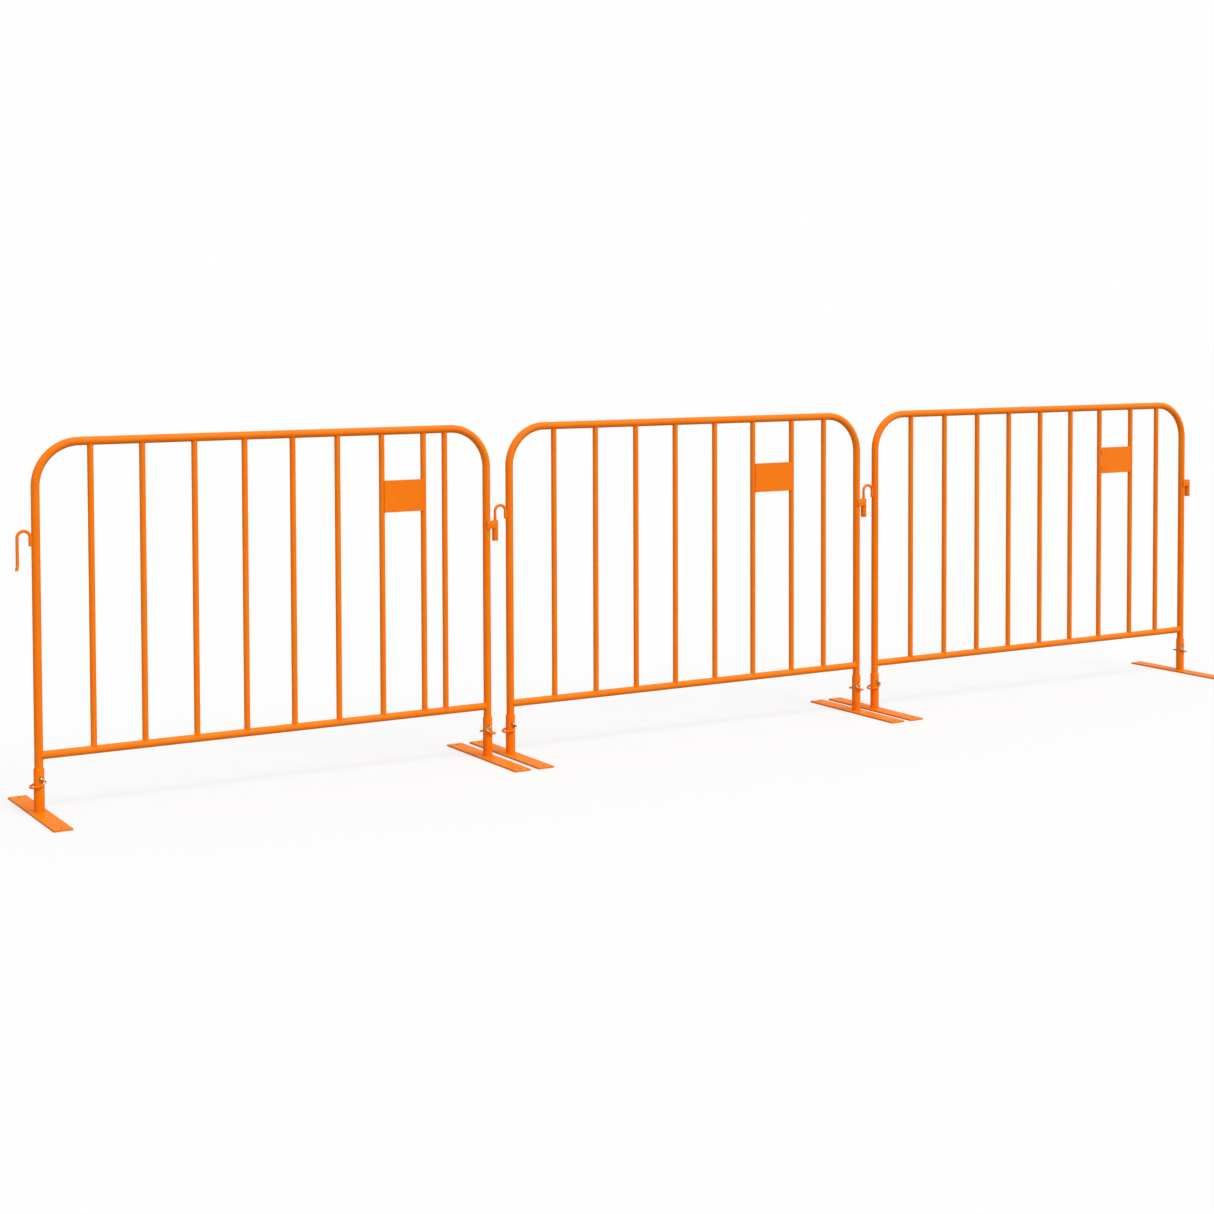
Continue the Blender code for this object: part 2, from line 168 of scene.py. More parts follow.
class BarrierPaint(bpy.types.PropertyGroup):
    """Colours and gloss of the powder coat and the bare wire, and the painted shade of the anchor holes"""

    orange: colour("Orange", "Main colour of the powder coat", (0.88, 0.190, 0.0012))
    deep: colour("Deep Orange", "Colour where the coat is thick", (0.83, 0.148, 0.0006))
    pale: colour("Pale Orange", "Colour where the coat is thin or rubbed", (0.96, 0.265, 0.0040))
    dust: colour("Dust", "Colour of the dust near the floor", (0.70, 0.24, 0.020))
    # Painted shade: a near-black colour laid on the walls of the foot plates' anchor holes, where shade
    # falls.
    painted_hole_shade: colour("Painted Hole Shade", "Dark colour painted on the walls of the anchor holes as shade", (0.16, 0.035, 0.004))
    steel: colour("Bare Steel", "Colour of bare steel wire", (0.62, 0.50, 0.30))
    roughness: share("Roughness", "Roughness of the powder coat", 0.46)
    gloss: share("Gloss", "Strength of the powder coat's reflections", 0.12)


class BarrierStage(bpy.types.PropertyGroup):
    """Studio floor, light and surroundings"""

    floor: colour("Floor", "Colour of the floor", (0.295, 0.295, 0.295))
    floor_lift: strength("Floor Lift", "Glow that keeps the floor white", 0.585)
    key: strength("Key Light", "Strength of the main light", 1.42)
    bright_side: strength("Bright Side", "Light from the right", 1.37)
    dark_side: strength("Dark Side", "Light from the left", 0.66)


# --- Shaping ---------------------------------------------------------------------------------------


def edges_at(verts):
    """Edges that meet the vertices, each once and always in the same order."""
    return list(dict.fromkeys(edge for vert in verts for edge in vert.link_edges))


def open_ring(bm, diameter, sides, place):
    """Add a circle of edges round the z axis of place and return the edges."""
    made = bmesh.ops.create_circle(
        bm, cap_ends=False, radius=diameter / 2, segments=sides, matrix=place
    )
    return edges_at(made["verts"])


def extrude_ring(bm, ring):
    """Extrude a ring of edges in place. Return its new vertices and its new ring."""
    made = bmesh.ops.extrude_edge_only(bm, edges=ring)["geom"]
    verts = [item for item in made if isinstance(item, bmesh.types.BMVert)]
    new = set(verts)
    edges = [item for item in made if isinstance(item, bmesh.types.BMEdge)]
    return verts, [edge for edge in edges if new.issuperset(edge.verts)]


def run_straight(bm, ring, step):
    verts, ring = extrude_ring(bm, ring)
    bmesh.ops.translate(bm, verts=verts, vec=step)
    return ring


def run_bend(bm, ring, centre, axis, angle, steps):
    made = bmesh.ops.spin(
        bm, geom=ring, cent=centre, axis=axis, dvec=(0, 0, 0), angle=angle, steps=steps
    )
    return [item for item in made["geom_last"] if isinstance(item, bmesh.types.BMEdge)]


def run_moves(bm, ring, moves):
    """Carry a ring along straights, given as a step, and bends, given as centre, axis, angle, steps."""
    for move in moves:
        ring = run_straight(bm, ring, move[0]) if len(move) == 1 else run_bend(bm, ring, *move)
    return ring


def hollow_tube(bm, diameter, wall, sides, place, moves):
    """Run a tube with a wall along moves, open at both ends."""
    run_moves(bm, open_ring(bm, diameter, sides, place), moves)
    bmesh.ops.recalc_face_normals(bm, faces=bm.faces)
    bmesh.ops.solidify(bm, geom=bm.faces[:], thickness=wall)


def close_end(bm, ring, rounding):
    """Fill the end of a bar and round its rim."""
    bmesh.ops.edgeloop_fill(bm, edges=ring)
    bevel(bm, ring, rounding, 3)


def bevel(bm, geom, offset, segments, affect="EDGES"):
    bmesh.ops.bevel(
        bm, geom=geom, offset=offset, offset_type="OFFSET", segments=segments, profile=0.5,
        affect=affect, clamp_overlap=True, material=-1,
    )


def directions(points):
    """Unit direction of travel at each point of a path."""
    ends = [points[0], *points, points[-1]]
    return [(after - before).normalized() for before, after in zip(ends, ends[2:])]


def bar_along(bm, diameter, sides, points, rounding):
    """Run a solid bar along a path, turning its section to stay square to the path."""
    ways = directions(points)
    place = Matrix.Translation(points[0]) @ UP.rotation_difference(ways[0]).to_matrix().to_4x4()
    start = ring = open_ring(bm, diameter, sides, place)
    for count in range(1, len(points)):
        verts, ring = extrude_ring(bm, ring)
        bmesh.ops.translate(bm, verts=verts, vec=points[count] - points[count - 1])
        turn = ways[count - 1].rotation_difference(ways[count]).to_matrix()
        bmesh.ops.rotate(bm, verts=verts, cent=points[count], matrix=turn)
    close_end(bm, start, rounding)
    close_end(bm, ring, rounding)


def smooth_path(points, fineness):
    """Lay more points on a path, on a smooth curve through those given."""
    ends = [points[0], *points, points[-1]]
    path = []
    for p0, p1, p2, p3 in zip(ends, ends[1:], ends[2:], ends[3:]):
        for step in range(fineness):
            t = step / fineness
            path.append(
                0.5 * (2 * p1 + (p2 - p0) * t + (2 * p0 - 5 * p1 + 4 * p2 - p3) * t**2
                       + (3 * p1 - p0 - 3 * p2 + p3) * t**3)
            )
    return [*path, points[-1]]


def block(bm, low, high):
    """Add a box between two corners and return its vertices."""
    low, high = Vector(low), Vector(high)
    place = Matrix.Translation((low + high) / 2) @ Matrix.Diagonal((*(high - low), 1))
    return bmesh.ops.create_cube(bm, size=1, matrix=place)["verts"]


def turned_tube(bm, diameter, wall, axis, low, high, rounding):
    """Turn a short tube with rounded rims round an upright axis, given as x and y."""
    middle = Matrix.Translation((axis[0] + diameter / 2 - wall / 2, axis[1], (low + high) / 2))
    upright = Matrix.Rotation(pi / 2, 4, "X")
    place = middle @ upright @ Matrix.Diagonal((wall, high - low, 1, 1))
    profile = bmesh.ops.create_grid(bm, x_segments=1, y_segments=1, size=0.5, matrix=place)["verts"]
    bevel(bm, profile, rounding, 3, "VERTICES")
    face = next(face for face in bm.faces if abs(face.normal.y) > 0.9)
    edges = face.edges[:]
    bmesh.ops.delete(bm, geom=[face], context="FACES_ONLY")
    bmesh.ops.spin(
        bm, geom=edges, cent=(*axis, 0), axis=UP, dvec=(0, 0, 0), angle=2 * pi,
        steps=FRAME_SIDES, use_merge=True,
    )
    bmesh.ops.remove_doubles(bm, verts=bm.verts, dist=1e-6)
    bmesh.ops.recalc_face_normals(bm, faces=bm.faces)


def facing_up(x, y, z):
    return Matrix.Translation((x, y, z))


def facing_right(x, y, z):
    return Matrix.Translation((x, y, z)) @ Matrix.Rotation(pi / 2, 4, "Y")


def facing_back(x, y, z):
    return Matrix.Translation((x, y, z)) @ Matrix.Rotation(-pi / 2, 4, "X")


# --- Pieces ----------------------------------------------------------------------------------------


def finish_mesh(name, bm, largest_round_face=None):
    """Make a mesh with outward faces. Faces over the given area are flat, the others are smooth."""
    bmesh.ops.recalc_face_normals(bm, faces=bm.faces)
    mesh = bpy.data.meshes.new(name)
    bm.to_mesh(mesh)
    bm.free()
    shade(mesh, largest_round_face)
    return mesh


def shade(mesh, largest_round_face=None):
    mesh.shade_smooth()
    if largest_round_face is None:
        mesh.set_sharp_from_angle(angle=SHARP)
        return
    for face in mesh.polygons:
        face.use_smooth = face.area < largest_round_face


def put(name, mesh):
    obj = bpy.data.objects.new(name, mesh)
    bpy.context.scene.collection.objects.link(obj)
    return obj


def place_piece(name, mesh, material, body, node=None):
    """Add a finished piece, ride it on its body, and let it stand for its node if it has one."""
    mesh.materials.clear()
    mesh.materials.append(material)
    piece = put(name, mesh)
    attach(piece, body)
    if node:
        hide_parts(node)


def place_on_section(number, name, mesh, material, part=None):
    """Add a piece that rides on a section, and let it stand for that section's part if it has one."""
    node = part and f"section_{number}_{part}"
    place_piece(f"barrier_{number}_{name}", mesh, material, f"section_{number}", node)


def cut(mesh, drill):
    """Return a mesh with another cut out of it."""
    body, tool = put("body", mesh), put("tool", drill)
    modifier = body.modifiers.new("Cut", "BOOLEAN")
    modifier.operation = "DIFFERENCE"
    modifier.solver = "EXACT"
    modifier.object = tool
    return applied(body, tool)


def softened(mesh, offset):
    """Return a mesh with its sharp edges rounded."""
    body = put("body", mesh)
    modifier = body.modifiers.new("Round", "BEVEL")
    modifier.width = offset
    modifier.segments = 2
    modifier.limit_method = "ANGLE"
    modifier.angle_limit = SHARP
    return applied(body)


def applied(body, *tools):
    """Return the mesh of an object with its modifiers applied, and remove the objects."""
    graph = bpy.context.evaluated_depsgraph_get()
    made = bpy.data.meshes.new_from_object(body.evaluated_get(graph))
    for obj in (body, *tools):
        bpy.data.objects.remove(obj, do_unlink=True)
    return made


def store_wear_and_shade(mesh, wear_and_shade_at):
    """Store how rubbed each point of a mesh is, from 0 to 1. On the foot plates it marks the walls of the
    anchor holes for painted shade instead.
    """
    layer = mesh.attributes.new("wear_and_shade", "FLOAT", "POINT")
    for vert, value in zip(mesh.vertices, layer.data):
        value.value = min(1, max(0, wear_and_shade_at(vert.co)))


def legs(number):
    """Places along the run of a section's left leg and right leg."""
    low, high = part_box(f"section_{number}_frame_tube")
    radius = (high.y - low.y) / 2
    return low.x + radius, high.x - radius


def picket_nodes(number):
    stem = f"section_{number}_picket_"
    count = sum(1 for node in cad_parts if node.startswith(stem))
    return [f"{stem}{place}" for place in range(1, count + 1)]


def centre(node):
    low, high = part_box(node)
    return (low + high) / 2


def socket_axis(number, sizes):
    """Axis of a section's socket, as x and y, and the height of its top."""
    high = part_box(f"section_{number}_socket")[1]
    return high.x - sizes.socket_tube / 2, high.y - sizes.socket_tube / 2, high.z


def hook_legs(number, sizes):
    """x of the hook's welded leg and of its free leg, and their y."""
    low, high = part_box(f"section_{number}_hook")
    half = (high.x - low.x - sizes.hook_span - sizes.hook_kick) / 2
    welded = high.x - half
    return welded, welded - sizes.hook_span, centre(f"section_{number}_hook").y


def plug(bm, diameter, place, way):
    """Add a closed round cutter."""
    ring = open_ring(bm, diameter, HOLE_SIDES, place)
    end = run_straight(bm, ring, way)
    bmesh.ops.edgeloop_fill(bm, edges=ring)
    bmesh.ops.edgeloop_fill(bm, edges=end)


def pin_drill(places, sizes, sleeve, height):
    """Cutters for the pin holes: from in front of each sleeve to the leg's axis."""
    hole = sizes.clip_wire + 2 * sizes.pin_fit
    bm = bmesh.new()
    for x in places:
        plug(bm, hole, facing_back(x, -sleeve, height), BACK * sleeve)
    return finish_mesh("pin_drill", bm)


def frame_tube_mesh(number, sizes):
    low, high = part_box(f"section_{number}_frame_tube")
    left, right = legs(number)
    bend, tube = sizes.frame_bend, sizes.frame_tube
    base = high.z - tube / 2 - bend
    rise = UP * (base - low.z)
    moves = (
        (rise,),
        ((left + bend, 0, base), (0, 1, 0), pi / 2, BEND_STEPS),
        (RIGHT * (right - left - 2 * bend),),
        ((right - bend, 0, base), (0, 1, 0), pi / 2, BEND_STEPS),
        (-rise,),
    )
    bm = bmesh.new()
    hollow_tube(bm, tube, sizes.frame_wall, FRAME_SIDES, facing_up(left, 0, low.z), moves)
    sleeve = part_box(f"section_{number}_left_foot_sleeve")
    drill = pin_drill((left, right), sizes, sleeve[1].y - sleeve[0].y, sleeve[1].z - sizes.pin_below)
    made = cut(finish_mesh("frame_tube", bm), drill)
    shade(made)
    return made


def stand_off(width, y):
    """How far from a tube's axis another tube's end stands, at y in front of or behind that axis."""
    return sqrt((width / 2 + WELD_GAP) ** 2 - y**2)


def bottom_rail_mesh(number, sizes):
    left, right = legs(number)
    height = centre(f"section_{number}_bottom_rail").z
    bm = bmesh.new()
    place = facing_right(left, 0, height)
    hollow_tube(bm, sizes.rail_tube, sizes.rail_wall, FRAME_SIDES, place, ((RIGHT * (right - left),),))
    for vert in bm.verts:
        reach = stand_off(sizes.frame_tube, vert.co.y)
        vert.co.x = left + reach if vert.co.x < (left + right) / 2 else right - reach
    return finish_mesh("bottom_rail", bm)


def picket_mesh(number, node, sizes):
    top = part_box(f"section_{number}_frame_tube")[1].z - sizes.frame_tube / 2
    bottom = centre(f"section_{number}_bottom_rail").z
    bm = bmesh.new()
    place = facing_up(centre(node).x, 0, bottom)
    hollow_tube(bm, sizes.picket_tube, sizes.picket_wall, PICKET_SIDES, place, ((UP * (top - bottom),),))
    for vert in bm.verts:
        if vert.co.z < (bottom + top) / 2:
            vert.co.z = bottom + stand_off(sizes.rail_tube, vert.co.y)
        else:
            vert.co.z = top - stand_off(sizes.frame_tube, vert.co.y)
    return finish_mesh("picket", bm)


def name_plate_mesh(number, sizes):
    """A flat plate that fills its node's box, with rounded corners and edges."""
    low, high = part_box(f"section_{number}_name_plate")
    bm = bmesh.new()
    block(bm, low, high)
    depth = min(range(3), key=lambda axis: high[axis] - low[axis])
    corners = [edge for edge in bm.edges if abs((edge.verts[0].co - edge.verts[1].co)[depth]) > 1e-6]
    bevel(bm, corners, CORNER, 4)
    rims = [
        edge for edge in bm.edges if len({round(face.normal[depth]) for face in edge.link_faces}) == 2
    ]
    bevel(bm, rims, sizes.edge, 2)
    return finish_mesh("name_plate", bm, 1e-4)


def hook_mesh(number, sizes):
    low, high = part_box(f"section_{number}_hook")
    welded, free, y = hook_legs(number, sizes)
    weld_bottom = socket_axis(number, sizes)[2] + sizes.hook_weld
    bow = high.z - sizes.hook_rod / 2 - sizes.hook_span / 2
    points = [Vector((welded, y, weld_bottom)), Vector((welded, y, (weld_bottom + bow) / 2))]
    middle = Vector(((welded + free) / 2, y, bow))
    for step in range(BOW_STEPS + 1):
        angle = pi * step / BOW_STEPS
        points.append(middle + Vector((cos(angle), 0, sin(angle))) * sizes.hook_span / 2)
    for step in range(TIP_STEPS + 1):
        share_down = step / TIP_STEPS
        ease = (1 - cos(pi * share_down)) / 2
        drop = sizes.hook_kick_long * (1 - share_down)
        points.append(Vector((free - sizes.hook_kick * ease, y, low.z + drop)))
    bm = bmesh.new()
    bar_along(bm, sizes.hook_rod, ROD_SIDES, points, sizes.edge)
    mesh = finish_mesh("hook", bm)
    rubbed = socket_axis(number, sizes)[2] - 0.012

    def wear_and_shade(point):
        return (0.55 if point.x < middle.x else 0) * (1 - abs(point.z - rubbed) / 0.03)

    store_wear_and_shade(mesh, wear_and_shade)
    return mesh


def socket_mesh(number, sizes):
    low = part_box(f"section_{number}_socket")[0]
    x, y, top = socket_axis(number, sizes)
    bm = bmesh.new()
    turned_tube(bm, sizes.socket_tube, sizes.socket_wall, (x, y), low.z, top, sizes.edge)
    strap = block(bm, (low.x, low.y, top - sizes.strap_tall), (x, low.y + sizes.strap_thick, top))
    bevel(bm, edges_at(strap), sizes.edge, 2)
    mesh = finish_mesh("socket", bm)
    mouth = sizes.socket_tube / 2 - sizes.socket_wall + 0.001

    def wear_and_shade(point):
        return 0.8 if top - point.z < RIM_DEPTH and hypot(point.x - x, point.y - y) < mouth else 0

    store_wear_and_shade(mesh, wear_and_shade)
    return mesh


def foot_plate_mesh(node, sizes):
    low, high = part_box(node)
    x = (low.x + high.x) / 2
    bm = bmesh.new()
    block(bm, low, high)
    drill = bmesh.new()
    places = (low.y + sizes.anchor_from_end, high.y - sizes.anchor_from_end)
    for y in places:
        plug(drill, sizes.anchor_hole, facing_up(x, y, low.z - 0.01), UP * 0.03)
    plate = cut(finish_mesh("foot_plate", bm), finish_mesh("anchor_drill", drill))
    made = softened(plate, sizes.edge)
    shade(made, 4e-5)
    # The walls of the anchor holes are marked here; the plate's paint darkens them to painted shade.
    reach = (sizes.anchor_hole / 2 + sizes.edge) * 0.98
    store_wear_and_shade(made, lambda point: any(hypot(point.x - x, point.y - y) < reach for y in places))
    return made


def foot_sleeve_mesh(node, sizes):
    low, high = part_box(node)
    x = (low.x + high.x) / 2
    bm = bmesh.new()
    turned_tube(bm, high.y - low.y, sizes.sleeve_wall, (x, 0), low.z, high.z, sizes.edge)
    drill = pin_drill((x,), sizes, high.y - low.y, high.z - sizes.pin_below)
    made = cut(finish_mesh("foot_sleeve", bm), drill)
    shade(made)
    store_wear_and_shade(made, lambda point: 0.5 if high.z - point.z < RIM_DEPTH else 0)
    return made


def clip_route(crossing, outward, sleeve, sizes):
    """Points of the clip's wire, from the crossing of the pin's axis and the leg's axis.

    outward is -1 on a left foot, whose ring hangs to the left, and 1 on a right foot. Apart from
    CLIP_ROOM, it is the route of the clip's node.
    """
    pin_tip = sizes.frame_wall - sizes.frame_tube / 2 + CLIP_PIN_INSIDE
    turn = -(sleeve / 2 + CLIP_STAND_OFF + sizes.clip_wire / 2)
    ring = sleeve / 2 + CLIP_ROOM + sizes.clip_wire / 2
    wire = sizes.clip_wire
    route = [
        Vector((0, pin_tip, 0)),
        Vector((0, turn + wire / 2, 0)),
        Vector((-outward * wire / 4, turn, -wire / 2)),
    ]
    aside, back, up = CLIP_MIDDLE
    middle = Vector((outward * aside, back, up))
    for step in range(CLIP_STEPS + 1):
        turned = step / CLIP_STEPS
        angle = radians(CLIP_START - CLIP_SWEEP * turned)
        rise = cos(angle) * CLIP_DROOP + CLIP_LEAD_IN * max(0, 1 - turned * CLIP_LEAD_SHARE) ** 2
        route.append(middle + Vector((-outward * cos(angle) * ring, sin(angle) * ring, rise)))
    return [crossing + point for point in route]


def clip_mesh(number, side, sizes):
    low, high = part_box(f"section_{number}_{side}_foot_sleeve")
    crossing = Vector(((low.x + high.x) / 2, 0, high.z - sizes.pin_below))
    route = clip_route(crossing, -1 if side == "left" else 1, high.y - low.y, sizes)
    bm = bmesh.new()
    bar_along(bm, sizes.clip_wire, WIRE_SIDES, smooth_path(route, PATH_FINENESS), sizes.edge)
    mesh = finish_mesh("clip", bm)
    bare_from = crossing.z - CLIP_BARE_FROM
    store_wear_and_shade(mesh, lambda point: (point.z - bare_from) / CLIP_BARE_FADE)
    return mesh


# --- Weld beads ------------------------------------------------------------------------------------


def ring_bead(bm, radius, bead, rise, place, ripples=34):
    """Lay a rippled bead round the z axis of place. rise gives its height from its place on the circle."""
    start = Matrix.Translation((radius, 0, 0)) @ Matrix.Rotation(pi / 2, 4, "X")
    before = set(bm.verts)
    ring = open_ring(bm, 2 * bead, 8, start)
    bmesh.ops.spin(
        bm, geom=ring, cent=(0, 0, 0), axis=UP, dvec=(0, 0, 0), angle=2 * pi,
        steps=ripples * 3, use_merge=True,
    )
    made = [vert for vert in bm.verts if vert not in before]
    for vert in made:
        angle = atan2(vert.co.y, vert.co.x)
        spine = Vector((cos(angle), sin(angle), 0)) * radius
        swell = 0.90 + 0.12 * cos(ripples * angle) + 0.08 * sin(3 * angle + radius * 900)
        vert.co = spine + (vert.co - spine) * swell + UP * rise(spine.x, spine.y)
    bmesh.ops.transform(bm, verts=made, matrix=place)


def straight_bead(bm, low, high, bead, pitch=0.0022):
    """Lay a rippled bead between two points, tapered at both ends."""
    low, high = Vector(low), Vector(high)
    way = high - low
    steps = max(8, round(way.length / pitch) * 4)
    place = Matrix.Translation(low) @ UP.rotation_difference(way).to_matrix().to_4x4()
    start = ring = open_ring(bm, bead, 10, place)
    for count in range(1, steps + 1):
        verts, ring = extrude_ring(bm, ring)
        bmesh.ops.translate(bm, verts=verts, vec=way / steps)
        along = count / steps
        full = bead * (0.95 + 0.10 * cos(2 * pi * count / 4)) * min(1, 0.5 + 6 * min(along, 1 - along))
        middle = low + way * along
        now = (verts[0].co - middle).length
        widen = Matrix.Translation(middle) @ Matrix.Scale(full / now, 4) @ Matrix.Translation(-middle)
        bmesh.ops.transform(bm, verts=verts, matrix=widen)
    bmesh.ops.edgeloop_fill(bm, edges=start)
    bmesh.ops.edgeloop_fill(bm, edges=ring)


def frame_welds_mesh(number, sizes):
    """The beads at the ends of the pickets and of the bottom rail."""
    left, right = legs(number)
    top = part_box(f"section_{number}_frame_tube")[1].z - sizes.frame_tube / 2
    bottom = centre(f"section_{number}_bottom_rail").z
    frame_radius, rail_radius = sizes.frame_tube / 2, sizes.rail_tube / 2
    picket = sizes.picket_tube / 2

    def on_rail(_, y):
        return sqrt(rail_radius**2 - y**2)

    def under_top(_, y):
        return -sqrt(frame_radius**2 - y**2)

    bm = bmesh.new()
    for node in picket_nodes(number):
        x = centre(node).x
        ring_bead(bm, picket, sizes.bead * 0.8, on_rail, facing_up(x, 0, bottom))
        ring_bead(bm, picket, sizes.bead * 0.8, under_top, facing_up(x, 0, top))
    for x, side in ((left, 1), (right, -1)):
        ring_bead(
            bm, rail_radius, sizes.bead, lambda _, y: side * sqrt(frame_radius**2 - y**2),
            facing_right(x, 0, bottom), 44,
        )
    return finish_mesh("frame_welds", bm)


def fitting_welds_mesh(number, sizes):
    """The beads of the hook, the socket's strap and the name plate."""
    bm = bmesh.new()
    left, right = legs(number)
    welded, _, hook_y = hook_legs(number, sizes)
    x, y, socket_top = socket_axis(number, sizes)
    bead = sizes.bead
    low = socket_top + sizes.hook_weld
    between = (welded * sizes.frame_tube + left * sizes.hook_rod) / (sizes.frame_tube + sizes.hook_rod)
    for side in (-1, 1):
        seam = hook_y / 2 + side * (bead + 0.0018)
        straight_bead(bm, (between, seam, low + 0.001), (between, seam, low + 0.031), bead * 1.15)
    strap_low, strap_high = socket_top - sizes.strap_tall + 0.002, socket_top - 0.002
    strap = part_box(f"section_{number}_socket")[0]
    front = -sqrt((sizes.frame_tube / 2) ** 2 - (strap.x - right) ** 2)
    seam = y - sizes.socket_tube / 2
    for place, width in (
        ((strap.x - 0.0004, front - 0.0008), bead),
        ((right + 0.0052, strap.y + 0.0042), bead),
        ((x + 0.0006, seam + 0.0002), bead * 0.9),
    ):
        straight_bead(bm, (*place, strap_low), (*place, strap_high), width)
    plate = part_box(f"section_{number}_name_plate")
    face = plate[1].y + 0.0003
    for edge in (plate[0].x, plate[1].x):
        for height in (0.2, 0.8):
            z = plate[0].z + (plate[1].z - plate[0].z) * height
            straight_bead(bm, (edge, face, z - 0.008), (edge, face, z + 0.008), bead * 0.75)
    return finish_mesh("fitting_welds", bm)


def foot_welds_mesh(number, sizes):
    """The beads between the sleeves and their plates."""
    bm = bmesh.new()
    for side in SIDES:
        low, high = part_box(f"section_{number}_{side}_foot_sleeve")
        x, radius = (low.x + high.x) / 2, (high.y - low.y) / 2
        ring_bead(bm, radius + 0.0002, sizes.bead * 1.2, lambda *_: 0, facing_up(x, 0, low.z + 0.0003), 50)
    return finish_mesh("foot_welds", bm)


# --- Materials -------------------------------------------------------------------------------------


def add_node(tree, kind, x, y, **settings):
    node = tree.nodes.new(kind)
    node.location = (x, y)
    for name, value in settings.items():
        setattr(node, name, value)
    return node


def new_group(name, inputs, outputs):
    """Start a node group. Inputs and outputs are socket names with their kinds."""
    group = bpy.data.node_groups.new(name, "ShaderNodeTree")
    for label, kind in inputs:
        group.interface.new_socket(name=label, in_out="INPUT", socket_type=kind)
    for label, kind in outputs:
        group.interface.new_socket(name=label, in_out="OUTPUT", socket_type=kind)
    return group, add_node(group, "NodeGroupInput", -900, 0), add_node(group, "NodeGroupOutput", 700, 0)


def noise_field(tree, scale, detail, x, y):
    """A noise on object coordinates, with its scale given as a number or a socket."""
    where = add_node(tree, "ShaderNodeTexCoord", x - 200, y)
    noise = add_node(tree, "ShaderNodeTexNoise", x, y)
    noise.inputs["Detail"].default_value = detail
    if isinstance(scale, (int, float)):
        noise.inputs["Scale"].default_value = scale
    else:
        tree.links.new(scale, noise.inputs["Scale"])
    tree.links.new(where.outputs["Object"], noise.inputs["Vector"])
    return noise.outputs["Fac"]


def remap(tree, value, from_low, from_high, to_low, to_high, x, y):
    """Stretch a value from one range to another. The new range is given as numbers or sockets."""
    node = add_node(tree, "ShaderNodeMapRange", x, y)
    tree.links.new(value, node.inputs["Value"])
    node.inputs["From Min"].default_value = from_low
    node.inputs["From Max"].default_value = from_high
    for label, limit in (("To Min", to_low), ("To Max", to_high)):
        if isinstance(limit, (int, float)):
            node.inputs[label].default_value = limit
        else:
            tree.links.new(limit, node.inputs[label])
    return node.outputs["Result"]


def math(tree, operation, first, second, x, y):
    node = add_node(tree, "ShaderNodeMath", x, y, operation=operation)
    for socket, value in zip(node.inputs, (first, second)):
        if isinstance(value, (int, float)):
            socket.default_value = value
        else:
            tree.links.new(value, socket)
    return node.outputs["Value"]


def mix_colour(tree, mask, first, second, x, y):
    """Mix two colours, each a socket or a colour, by a mask."""
    node = add_node(tree, "ShaderNodeMix", x, y, data_type="RGBA")
    tree.links.new(mask, node.inputs["Factor"])
    for socket, value in zip((node.inputs[6], node.inputs[7]), (first, second)):
        if isinstance(value, bpy.types.NodeSocket):
            tree.links.new(value, socket)
        else:
            socket.default_value = (*value, 1)
    return node.outputs[2]


def powder_coat_tone():
    """Colour and roughness of a powder coat that is thicker in some places than in others."""
    kinds = (("Orange", "NodeSocketColor"), ("Deep", "NodeSocketColor"), ("Pale", "NodeSocketColor"),
             ("Roughness", "NodeSocketFloat"))
    group, start, end = new_group(
        "Powder Coat Tone", kinds, (("Colour", "NodeSocketColor"), ("Roughness", "NodeSocketFloat"))
    )
    clouds = noise_field(group, 7.0, 3, -600, 200)
    mottle = noise_field(group, 85.0, 4, -600, -50)
    grain = noise_field(group, 1400.0, 2, -600, -300)
    thick = remap(group, clouds, 0.38, 0.72, 0.0, 0.55, -350, 200)
    thin = remap(group, mottle, 0.50, 0.78, 0.0, 0.45, -350, -50)
    fleck = remap(group, grain, 0.35, 0.75, 0.0, 0.22, -350, -300)
    toned = mix_colour(group, thick, start.outputs["Orange"], start.outputs["Deep"], -100, 150)
    lighter = mix_colour(group, thin, toned, start.outputs["Pale"], 100, 100)
    flecked = mix_colour(group, fleck, lighter, start.outputs["Deep"], 300, 50)
    uneven = remap(group, mottle, 0.25, 0.75, -0.06, 0.09, -100, -200)
    rough = math(group, "ADD", start.outputs["Roughness"], uneven, 300, -200)
    group.links.new(flecked, end.inputs["Colour"])
    group.links.new(rough, end.inputs["Roughness"])
    return group


def orange_peel():
    """Height of the fine ripple that a powder coat sets into, with the odd pinhole and nib."""
    group, start, end = new_group(
        "Orange Peel", (("Scale", "NodeSocketFloat"),), (("Height", "NodeSocketFloat"),)
    )
    ripple = noise_field(group, start.outputs["Scale"], 2, -500, 150)
    waves = noise_field(group, 120.0, 2, -500, -100)
    nibs = noise_field(group, 330.0, 0, -500, -350)
    low = math(group, "MULTIPLY", waves, 1.6, -250, -100)
    raised = remap(group, nibs, 0.74, 0.80, 0.0, 1.5, -250, -350)
    both = math(group, "ADD", ripple, low, 0, 50)
    group.links.new(math(group, "ADD", both, raised, 250, 0), end.inputs["Height"])
    return group


def wear_and_shade_marks():
    """Mask of rubbed paint, and on the foot plates of painted shade in the anchor holes, broken up by
    noise, from the mark stored on the mesh.
    """
    group, start, end = new_group(
        "Wear And Shade Marks", (("Scale", "NodeSocketFloat"),), (("Mask", "NodeSocketFloat"),)
    )
    stored = add_node(group, "ShaderNodeAttribute", -600, 150, attribute_name="wear_and_shade")
    breakup = noise_field(group, start.outputs["Scale"], 5, -500, -100)
    eaten = math(group, "SUBTRACT", stored.outputs["Fac"], breakup, -200, 50)
    group.links.new(remap(group, eaten, -0.08, 0.12, 0.0, 1.0, 100, 50), end.inputs["Mask"])
    return group


